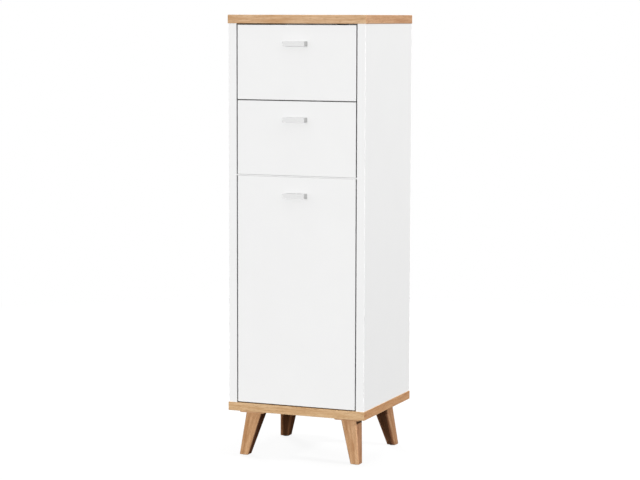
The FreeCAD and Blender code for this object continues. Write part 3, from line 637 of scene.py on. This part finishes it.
def oak_leg(node, outward, tone, inner_painted_light):
    """Solid oak whose grain follows the leg's own line, kept on the mesh as the grain attribute.

    The left and right faces are darkened by painted shade, and the faces that look against the outward
    direction, under the cabinet, carry a painted tint of light and shade that each leg has of its own."""
    material, tree, shader = new_material("oak_" + node)
    place = add(tree, "Attribute", attribute_name="grain").outputs["Vector"]
    pale, deep, pore = (np.multiply(colour, tone) for colour in (LEG_PALE, LEG_DEEP, LEG_PORE))
    colours = {"Place": place, "Pale": pale, "Deep": deep, "Pore": pore}
    figure = add(tree, "Group", colours, node_tree=oak_figure).outputs
    normal = add(tree, "TexCoord").outputs["Normal"]
    is_side = ranged(tree, sideways(tree, normal), *LEG_SIDE_TURN)
    is_inner = ranged(tree, facing(tree, normal, outward), *LEG_INNER_TURN)
    # Painted shade on the side faces, and painted light and shade on the inner faces.
    face = tinted(tree, is_inner, tinted(tree, is_side, figure["Color"], LEG_SIDE_SHADE), inner_painted_light)
    tree.links.new(face, shader.inputs["Base Color"])
    tree.links.new(ranged(tree, figure["Pores"], 0, 1, *LEG_ROUGH), shader.inputs["Roughness"])
    shader.inputs["Specular IOR Level"].default_value = 0.0
    bumped(tree, shader, figure["Height"], *LEG_BUMP)
    return material


def oak_plate():
    """Plain oak for the plates under the base, with the grain from side to side."""
    material, tree, shader = new_material("oak_plate")
    place = add(tree, "TexCoord").outputs["Object"]
    colours = {"Place": place, "Pale": LEG_PALE, "Deep": LEG_DEEP, "Pore": LEG_PORE}
    figure = add(tree, "Group", colours, node_tree=oak_figure).outputs
    tree.links.new(figure["Color"], shader.inputs["Base Color"])
    tree.links.new(ranged(tree, figure["Pores"], 0, 1, *PLATE_ROUGH), shader.inputs["Roughness"])
    bumped(tree, shader, figure["Height"], *LEG_BUMP)
    return material


def moulded(name, pale, deep, rough):
    """Moulded plastic with a faint drift of tone and a fine spark-eroded grain."""
    material, tree, shader = new_material(name)
    place = add(tree, "TexCoord").outputs["Object"]
    skin = add(tree, "Group", {"Place": place, "Cells": MOULD_CELLS}, node_tree=fine_skin).outputs
    tree.links.new(mixed(tree, skin["Tone"], deep, pale), shader.inputs["Base Color"])
    matt = ranged(tree, skin["Tone"], 0, 1, rough, rough + MOULD_SPREAD)
    tree.links.new(matt, shader.inputs["Roughness"])
    bumped(tree, shader, skin["Height"], *MOULD_BUMP)
    return material


for index, (node, wood) in enumerate(LEG_WOODS.items()):
    low, high = (np.array(corner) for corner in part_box(node))
    outward = np.array([-1 if "left" in node else 1, -1 if "front" in node else 1])
    outer = np.where(outward < 0, low[:2], high[:2])
    inner = np.where(outward < 0, high[:2], low[:2])
    foot = np.append(outer - outward * LEG_FOOT / 2, low[2])
    top = np.append(inner + outward * LEG_TOP / 2, high[2])
    rings, grain = leg_shape(foot, top)
    material = oak_leg(node, (*outward, 0), **wood)
    leg = new_piece("tapered_" + node, [shell(rings)], material, "cabinet", "oak_solid", node)
    ends = np.stack([grain[0].mean(axis=0), grain[-1].mean(axis=0)])
    lines = np.concatenate([grain.reshape(-1, 3), ends]) + LEG_SHIFT * (index + 1)
    leg.data.attributes.new("grain", "FLOAT_VECTOR", "POINT").data.foreach_set("vector", lines.ravel())
dress(oak_plate(), "leg_plates")
dress(moulded("glide_plastic", GLIDE_PALE, GLIDE_DEEP, GLIDE_ROUGH), "foot_glides")


# Runners: bent steel sheet with a white powder coat, screwed to the sides and under the drawers.
# Each carries one nylon roller on a riveted axle.
COAT_PALE = (0.820, 0.820, 0.812, 1)
COAT_DEEP = (0.770, 0.770, 0.765, 1)
COAT_CELLS = 750.0
COAT_ROUGH = (0.30, 0.38)
COAT_BUMP = (0.3, 0.0001)
NYLON_PALE = (0.80, 0.80, 0.765, 1)
NYLON_DEEP = (0.73, 0.73, 0.70, 1)
NYLON_ROUGH = 0.35
SHEET = 0.0012
SHEET_BEND = 0.0012
SHEET_STEPS = 6
LIP_STUB = 0.0008
WINDOW = 0.0095
WINDOW_SLANT = 0.0004
RUNNER_LIP = 0.010
TONGUE = 0.017
TONGUE_EASE = 0.003
AXLE_RADIUS = 0.002
AXLE_REACH = 0.00957
RIVET_HEAD = [(0, 0.0029), (0.0002, 0.0028), (0.0004, 0.0020)]
RIVET_INSET = 0.0001
BORE = 0.00206
HUB = 0.0034
TREAD = 0.0062
TREAD_EASE = 0.0008
TREAD_STEPS = 5
HOLLOW = 0.0012
HOLLOW_DRAFT = 0.0002
RIBS = 6
RIB_STEEPNESS = 4
RIB_CUT = 2.4


def powder_coat():
    """Powder paint: a slight orange peel over a plain colour."""
    material, tree, shader = new_material("powder_coat")
    place = add(tree, "TexCoord").outputs["Object"]
    skin = add(tree, "Group", {"Place": place, "Cells": COAT_CELLS}, node_tree=fine_skin).outputs
    tree.links.new(mixed(tree, skin["Tone"], COAT_DEEP, COAT_PALE), shader.inputs["Base Color"])
    tree.links.new(ranged(tree, skin["Tone"], 0, 1, *COAT_ROUGH), shader.inputs["Roughness"])
    bumped(tree, shader, skin["Height"], *COAT_BUMP)
    return material


def bent_section(*corners):
    """The outline of a bent sheet, whose middle line joins the corners with a quarter circle at each bend.

    The outline runs along one side of that line and back along the other."""
    corners = np.array(corners)
    ways = np.diff(corners, axis=0)
    ways = ways / np.linalg.norm(ways, axis=1, keepdims=True)
    turn = np.linspace(0, math.pi / 2, SHEET_STEPS)[:, None]
    places = [corners[:1]]
    headings = [ways[:1]]
    for corner, before, after in zip(corners[1:-1], ways, ways[1:]):
        centre = corner + SHEET_BEND * (after - before)
        places.append(centre + SHEET_BEND * (np.sin(turn) * before - np.cos(turn) * after))
        headings.append(np.cos(turn) * before + np.sin(turn) * after)
    line = np.concatenate(places + [corners[-1:]])
    aside = np.concatenate(headings + [ways[-1:]])[:, ::-1] * (-SHEET / 2, SHEET / 2)
    return np.concatenate([line + aside, (line - aside)[::-1]])


def sheet(sections, depths, sign):
    """A closed skin over sheet sections in X and Z at depths along Y. Sign -1 mirrors it to the left.

    Strips across the sheet's thickness close its two ends."""
    sections = np.array(sections)
    rows, columns = sections.shape[:2]
    along = np.broadcast_to(np.array(depths)[:, None], (rows, columns))
    rings = np.stack([sections[:, :, 0], along, sections[:, :, 1]], axis=-1)
    step = np.arange(columns // 2 - 1)
    near = np.stack([step + 1, step, columns - 1 - step, columns - 2 - step], axis=-1)
    faces = [ring_faces(rows, columns, False)[0], near, near[:, ::-1] + (rows - 1) * columns]
    if sign < 0:
        return rings.reshape(-1, 3) * (-1, 1, 1), [part[:, ::-1] for part in faces]
    return rings.reshape(-1, 3), faces


def axle(start, axis, length):
    """A riveted axle: a plain pin whose end is spread into a low round head."""
    head = [(length + rise, spread) for rise, spread in RIVET_HEAD]
    return shell(turned(start, axis, [(0, AXLE_RADIUS), (length, AXLE_RADIUS)] + head))


def rail(low, high, roller, sign):
    """The rail on a side: a channel, open inwards, its upper lip cut back over the roller at the front."""
    near, far = sorted((abs(low[0]), abs(high[0])))
    web = far - SHEET / 2
    floor, roof = low[2] + SHEET / 2, high[2] - SHEET / 2
    cut = bent_section((near, floor), (web, floor), (web, roof), (web - SHEET_BEND - LIP_STUB, roof))
    whole = bent_section((near, floor), (web, floor), (web, roof), (near, roof))
    window = roller[1] + WINDOW
    channel = sheet([cut, cut, whole, whole], [low[1], window, window + WINDOW_SLANT, high[1]], sign)
    start = np.array([sign * (far - SHEET), *roller[1:]])
    length = far - SHEET - near - RIVET_HEAD[-1][0] - RIVET_INSET
    return [channel, axle(start, np.array([-sign, 0.0, 0.0]), length)]


def tongue(near, low, high, sign):
    """The plate that hangs from a runner and carries its roller, its two lower corners rounded off."""
    turn = np.linspace(0, math.pi / 2, SHEET_STEPS)
    ease = TONGUE_EASE * np.stack([1 - np.cos(turn), 1 - np.sin(turn)], axis=-1)
    left = low + ease
    right = (high[0], low[1]) + ease[::-1] * (-1, 1)
    outline = np.concatenate([left, right, [high], [(low[0], high[1])]])
    across = np.stack([np.full(len(outline), near), *outline.T], axis=-1)
    rings = np.stack([across, across + (SHEET, 0, 0)])
    return shell(rings if sign > 0 else rings[:, ::-1] * (-1, 1, 1))


def runner(low, high, roller, bottom, sign):
    """The runner under a drawer: a lip below the side, a web beside it and a flange.

    The flange rolls on the rail's roller, and a tongue at the back carries the other roller."""
    near, far = sorted((abs(low[0]), abs(high[0])))
    web = near + RUNNER_LIP + SHEET / 2
    under, flange = bottom - SHEET / 2, high[2] - SHEET / 2
    section = bent_section((near, under), (web, under), (web, flange), (far, flange))
    strip = sheet([section, section], [low[1], high[1]], sign)
    inside = web - SHEET / 2
    hung = tongue(inside, np.array([high[1] - TONGUE, low[2]]), np.array([high[1], under]), sign)
    start = np.array([sign * inside, *roller[1:]])
    return [strip, hung, axle(start, np.array([sign, 0.0, 0.0]), AXLE_REACH)]


def roller_wheel(points):
    """A nylon wheel: a profile of tread, hub and bore carried round, with a hollow in each side.

    The ribs of the hollows are the tops of a cosine round the wheel, cut flat."""
    middle, size = odd_side(points)[:2]
    radius = size[2] / 2
    width = size[0]
    turn = np.linspace(0, math.pi / 2, TREAD_STEPS)
    tread = np.stack([TREAD_EASE * (1 - np.cos(turn)), radius - TREAD_EASE * (1 - np.sin(turn))], axis=-1)
    hollow = [(HOLLOW, HUB + HOLLOW_DRAFT), (HOLLOW, TREAD - HOLLOW_DRAFT)]
    half = np.concatenate([[(0, BORE), (0, HUB)], hollow, [(0, TREAD)], tread])
    profile = np.concatenate([half, (half * (-1, 1) + (width, 0))[::-1]])
    rings = turned(middle - (width / 2, 0, 0), np.array([1.0, 0.0, 0.0]), profile)
    wave = np.cos(np.linspace(0, 2 * RIBS * math.pi, TURN_STEPS, endpoint=False))
    rib = np.clip(RIB_STEEPNESS * wave - RIB_CUT, 0, 1)
    rings[2:4, :, 0] -= HOLLOW * rib
    rings[-4:-2, :, 0] += HOLLOW * rib
    return shell(rings, closed=True)


coat = powder_coat()
nylon = moulded("nylon", NYLON_PALE, NYLON_DEEP, NYLON_ROUGH)
for drawer in ("upper_drawer", "lower_drawer"):
    front, rear = drawer + "_front_rollers", drawer + "_rear_rollers"
    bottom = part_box(drawer + "_left_side")[0][2]
    for node in (front, rear):
        shells = [roller_wheel(points) for points in islands(node)]
        new_piece("ribbed_" + node, shells, nylon, node, "nylon", node)
    for hand, sign in (("left", -1), ("right", 1)):
        fixed, moving = drawer + "_rail_" + hand, drawer + "_runner_" + hand
        shells = rail(*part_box(fixed), np.mean(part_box(front), axis=0), sign)
        new_piece("bent_" + fixed, shells, coat, "cabinet", "white_steel", fixed)
        shells = runner(*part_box(moving), np.mean(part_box(rear), axis=0), bottom, sign)
        new_piece("bent_" + moving, shells, coat, drawer, "white_steel", moving)


# Drawer boxes, fronts and door: the same white melamine boards, thinner for the boxes than for the fronts.
# The fronts and the door close flush between the sides with a narrow gap all round.
for drawer in ("upper_drawer", "lower_drawer"):
    for part in ("_front", "_left_side", "_right_side", "_back"):
        dress(white_board(drawer + part), drawer + part)
dress(white_board("door_panel"), "door_panel")


# Divider strip and door stops: white plastic mouldings.
# The strip sits in the fixed shelf's front edge, the stops at the door's free edge.
PLASTIC_ROUGH = 0.42
dress(moulded("white_plastic", WHITE, WHITE_SHADE, PLASTIC_ROUGH), "divider_strip", "door_stops")


# Handles: a flat bow of satin metal, bent at both ends and brushed along its length.
# Two machine screws from behind the front hold each one.
HANDLE_BAR = 0.005
HANDLE_POST = 0.0075
HANDLE_INNER_BEND = 0.002
HANDLE_OUTER_BEND = 0.0025
HANDLE_ROUND = 0.0018
BEND_STEPS = 12
BEND_HOLD = 0.0008
SATIN_PALE = (0.820, 0.820, 0.818, 1)
SATIN_DEEP = (0.770, 0.770, 0.768, 1)
# Painted shade on the bent ends, in place of a darker reflection.
SATIN_END_SHADE = (0.66, 0.66, 0.66, 1)
SATIN_THROWN = (0.50, 0.50, 0.50, 1)
SATIN_LINES = (60, 4200, 2)
SATIN_SPREAD = (0.3, 0.7)
SATIN_END_TURN = (0.6, 0.9)
SATIN_ROUGH = (0.18, 0.14)
SATIN_BUMP = (0.1, 0.00004)


def bow_line(half, back, front, bend):
    """One side of the bow from above, from its left foot on: straight out, a quarter turn, then mirrored.

    A point just before and after each turn holds the straight parts."""
    turn = np.linspace(0, math.pi / 2, BEND_STEPS)
    corner = np.stack([-half + bend * (1 - np.cos(turn)), front + bend * (1 - np.sin(turn))], axis=-1)
    held = np.concatenate([corner[:1] + (0, BEND_HOLD), corner, corner[-1:] + (BEND_HOLD, 0)])
    left = np.concatenate([[[-half, back]], held])
    return np.concatenate([left, left[::-1] * (-1, 1)])


def handle_shape(low, high):
    """Rings of the bow: a rounded rectangle as tall as the handle, between its outer and inner lines."""
    half = (high[0] - low[0]) / 2
    outer = bow_line(half, high[1], low[1], HANDLE_OUTER_BEND)
    inner = bow_line(half - HANDLE_POST, high[1], low[1] + HANDLE_BAR, HANDLE_INNER_BEND)
    middle = (outer + inner) / 2
    reach = (outer - inner) / 2
    thick = np.linalg.norm(reach, axis=-1)
    centres, directions = rounded_square()
    tall = (high[2] - low[2]) / 2
    wide = centres[:, 0] * (thick[:, None] - HANDLE_ROUND) + directions[:, 0] * HANDLE_ROUND
    up = centres[:, 1] * (tall - HANDLE_ROUND) + directions[:, 1] * HANDLE_ROUND
    flat = middle[:, None, :] + (reach / thick[:, None])[:, None, :] * wide[:, :, None]
    height = np.broadcast_to(up + (low[2] + high[2]) / 2, wide.shape)
    return np.concatenate([flat, height[:, :, None]], axis=-1)[:, ::-1]


def satin_metal():
    """Brushed metal: long fine scratches along the bar change its tone, roughness and height.

    The bent ends are darkened by a painted shade that stands in for a darker reflection, and the light that
    the bow throws on the white front is dimmer."""
    material, tree, shader = new_material("satin_metal")
    where = add(tree, "TexCoord").outputs
    lines = streaks(tree, where["Object"], *SATIN_LINES).outputs[0]
    share = ranged(tree, lines, *SATIN_SPREAD)
    is_end = ranged(tree, sideways(tree, where["Normal"]), *SATIN_END_TURN)
    # Painted shade on the bent ends.
    face = tinted(tree, is_end, mixed(tree, share, SATIN_DEEP, SATIN_PALE), SATIN_END_SHADE)
    thrown = add(tree, "LightPath").outputs["Is Diffuse Ray"]
    tree.links.new(mixed(tree, thrown, face, SATIN_THROWN), shader.inputs["Base Color"])
    tree.links.new(ranged(tree, share, 0, 1, *SATIN_ROUGH), shader.inputs["Roughness"])
    shader.inputs["Metallic"].default_value = 1.0
    bumped(tree, shader, lines, *SATIN_BUMP)
    return material


satin = satin_metal()
for body in ("upper_drawer", "lower_drawer", "door"):
    node = body + "_handle"
    rings = handle_shape(*(np.array(corner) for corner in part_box(node)))
    new_piece("bow_" + node, [shell(rings)], satin, body, "satin_metal", node)


# Hinges and shelf pins: pressed steel with a bright nickel plate.
# The cups sit in the door, the hooked arms are screwed to plates on the left side.
NICKEL_PALE = (0.700, 0.690, 0.665, 1)
NICKEL_DEEP = (0.580, 0.570, 0.550, 1)
NICKEL_ROUGH = (0.18, 0.30)
nickel = plated("nickel_plate", NICKEL_PALE, NICKEL_DEEP, *NICKEL_ROUGH)
dress(nickel, "shelf_pins", "hinge_plates", "hinge_arms", "hinge_cups", "hinge_pins")


# Screws: zinc-plated steel with a cross recess. Pan heads hold the metal parts, sunk heads the boards and
# the leg plates. Machine screws with larger heads pull the handles on from behind.
SCREW_ROW = 0.0004
SCREW_PITCH = 0.0016
SCREW_EDGE = 0.0001
# Shares of the CAD screw's width, length and stem that tell which of its points are rim, tip or stem.
RIM_FROM = 0.98
TIP_FROM = 0.9
STEM_FROM = 0.5
STEM_TO = 1.1
# The dome is a share of the rim's thickness, and its edge a multiple of the dome.
SCREW_DOME = 0.35
SCREW_DOME_EDGE = 1.6
# Shares of the head's radius: rows of the face, the rim's start, the drive's half width, reach and depth.
SCREW_FACE_SHARES = np.linspace(0.03, 0.9, 12)
SCREW_RIM_SHARE = 0.96
SCREW_DRIVE_SHARES = (0.16, 0.62, 0.35)
# Shares of the stem's radius, and multiples of it back from the tip.
SCREW_CORE_SHARE = 0.78
SCREW_RIDGE_SHARE = 0.22
SCREW_TIP_SHARE = 0.2
SCREW_POINT = 1.5
SCREW_RUN_OUT = 1.6


def screw(points):
    """A screw where the CAD has one, its head at the wide end.

    The rows go over the head's domed face, down its rim or cone to the seat, and along the thread to a
    point."""
    middle, size, along = odd_side(points)
    length = size[along]
    depth = points[:, along] - middle[along] + length / 2
    radius = np.linalg.norm(np.delete(points - middle, along, axis=1), axis=1)
    wide = radius.max()
    at_rim = radius > RIM_FROM * wide
    axis = np.zeros(3)
    axis[along] = 1 if depth[at_rim].min() < length / 2 else -1
    depth = depth if axis[along] > 0 else length - depth
    stem = radius[depth > TIP_FROM * length].max()
    seat = depth[(radius > STEM_FROM * stem) & (radius < STEM_TO * stem)].min()
    thick = depth[at_rim].max()
    dome = SCREW_DOME * thick
    face = [(dome * share ** 2, share * wide) for share in SCREW_FACE_SHARES]
    rim = [(SCREW_EDGE, wide)]
    if thick > 0:
        edge = max(SCREW_DOME_EDGE * dome, SCREW_EDGE)
        rim = [(dome, SCREW_RIM_SHARE * wide), (edge, wide), (thick, wide)]
    shank = np.arange(seat, length - SCREW_POINT * stem, SCREW_ROW)
    cut = [(down, SCREW_CORE_SHARE * stem) for down in shank]
    profile = face + rim + cut + [(length, SCREW_TIP_SHARE * stem)]
    drive = tuple(share * wide for share in SCREW_DRIVE_SHARES)
    thread = (SCREW_RIDGE_SHARE * stem, SCREW_PITCH, seat + SCREW_PITCH, length - SCREW_RUN_OUT * stem)
    return shell(turned(middle - axis * length / 2, axis, profile, drive, thread))


for body in ("cabinet", "door", "upper_drawer", "lower_drawer"):
    node = body + "_screws"
    shells = [screw(points) for points in islands(node)]
    new_piece("crossed_" + node, shells, zinc_plate, body, "zinc_steel", node)


# Floor and light: a pale floor that runs on into white, four soft lights round the cabinet, a dim even sky.
# To the camera and in reflections the floor and the sky are white, and the floor keeps a faint shadow.
FLOOR_HALF = 40.0
FLOOR_BOUNCE = 0.02
FLOOR_SHADE = 0.10
FLOOR_GLOW = 0.91
FLOOR_FADE = (1.0, 3.0)
SKY_LIGHT = 0.36
LIGHT_TARGET = Vector((0, 0, 0.6))
LIGHTS = {
    "front_light": {"place": (0, -25.0, 2.0), "width": 2.2, "height": 2.0, "power": 4950},
    "side_light": {"place": (9.0, 0, 5.0), "width": 0.9, "height": 0.8, "power": 773},
    "top_light": {"place": (0, 0, 6.0), "width": 1.5, "height": 1.5, "power": 110},
    "back_light": {"place": (-5.0, 5.0, 3.0), "width": 2.5, "height": 2.5, "power": 520},
}


def seen_ray(tree):
    """1 for rays that show the stage, to the camera or in a reflection, 0 for rays that light things."""
    path = add(tree, "LightPath").outputs
    direct = worked(tree, "MAXIMUM", path["Is Camera Ray"], path["Is Glossy Ray"])
    seen = worked(tree, "MAXIMUM", direct, path["Is Transmission Ray"])
    scattered = ranged(tree, path["Diffuse Depth"], 0, 1, 1, 0)
    return worked(tree, "MULTIPLY", seen, scattered)


def lay_floor():
    """A flat floor. Seen, it glows just short of white near the cabinet and is plain white further off."""
    material = bpy.data.materials.new("pale_floor")
    material.use_nodes = True
    tree = material.node_tree
    tree.nodes.remove(tree.nodes["Principled BSDF"])
    seen = seen_ray(tree)
    place = add(tree, "TexCoord").outputs["Object"]
    distance = add(tree, "VectorMath", {0: place}, operation="LENGTH").outputs["Value"]
    far = ranged(tree, distance, *FLOOR_FADE)
    level = mixed_value(tree, seen, FLOOR_BOUNCE, mixed_value(tree, far, FLOOR_SHADE, 0.0))
    grey = add(tree, "CombineColor", {0: level, 1: level, 2: level}).outputs[0]
    matt = add(tree, "BsdfDiffuse", {"Color": grey}).outputs[0]
    strength = mixed_value(tree, seen, 0.0, mixed_value(tree, far, FLOOR_GLOW, 1.0))
    glow = add(tree, "Emission", {"Strength": strength}).outputs[0]
    both = add(tree, "AddShader", {0: matt, 1: glow}).outputs[0]
    tree.links.new(both, tree.nodes["Material Output"].inputs["Surface"])
    corners = np.array([[-1, -1, 0], [1, -1, 0], [1, 1, 0], [-1, 1, 0]]) * FLOOR_HALF
    mesh = bpy.data.meshes.new("floor")
    mesh.from_pydata(corners, [], [(0, 1, 2, 3)])
    mesh.materials.append(material)
    floor = bpy.data.objects.new("floor", mesh)
    bpy.context.scene.collection.objects.link(floor)


def light_sky():
    """An even sky: white where it is seen, dimmer where it only lights things."""
    world = bpy.data.worlds.new("even_sky")
    world.use_nodes = True
    tree = world.node_tree
    background = tree.nodes["Background"]
    background.inputs["Color"].default_value = (1, 1, 1, 1)
    tree.links.new(mixed_value(tree, seen_ray(tree), SKY_LIGHT, 1.0), background.inputs["Strength"])
    bpy.context.scene.world = world


def hang_light(name, place, width, height, power):
    """A rectangular soft light at the place, turned towards the target.

    Shiny things show the stage and not the lamp."""
    lamp = bpy.data.lights.new(name, "AREA")
    lamp.shape = "RECTANGLE"
    lamp.size = width
    lamp.size_y = height
    lamp.energy = power
    light = bpy.data.objects.new(name, lamp)
    turn = (Vector(place) - LIGHT_TARGET).to_track_quat("Z", "Y")
    light.matrix_world = Matrix.LocRotScale(Vector(place), turn, None)
    light.visible_glossy = False
    bpy.context.scene.collection.objects.link(light)


lay_floor()
light_sky()
for name, lamp in LIGHTS.items():
    hang_light(name, **lamp)
bpy.context.scene.view_settings.view_transform = "Standard"


# Camera: a long lens at the height of the cabinet's top, to the right of its front.
# Its place and angles put the panels' corners where the photograph shows them.
CAMERA_PLACE = (2.0629, -5.0056, 1.1426)
CAMERA_HEADING = math.radians(22.384)
CAMERA_DIP = math.radians(6.1407)
CAMERA_ROLL = math.radians(0.1436)
SENSOR = 36.0
FOCAL_PIXELS = 2074.87
IMAGE_WIDTH = 640
FAR_CLIP = 200.0

optics = bpy.data.cameras.new("camera")
optics.sensor_width = SENSOR
optics.lens = SENSOR * FOCAL_PIXELS / IMAGE_WIDTH
optics.clip_end = FAR_CLIP
camera = bpy.data.objects.new("camera", optics)
aim = Matrix.Rotation(CAMERA_HEADING, 4, "Z") @ Matrix.Rotation(math.pi / 2 - CAMERA_DIP, 4, "X")
camera.matrix_world = Matrix.Translation(CAMERA_PLACE) @ aim @ Matrix.Rotation(CAMERA_ROLL, 4, "Z")
bpy.context.scene.collection.objects.link(camera)
bpy.context.scene.camera = camera
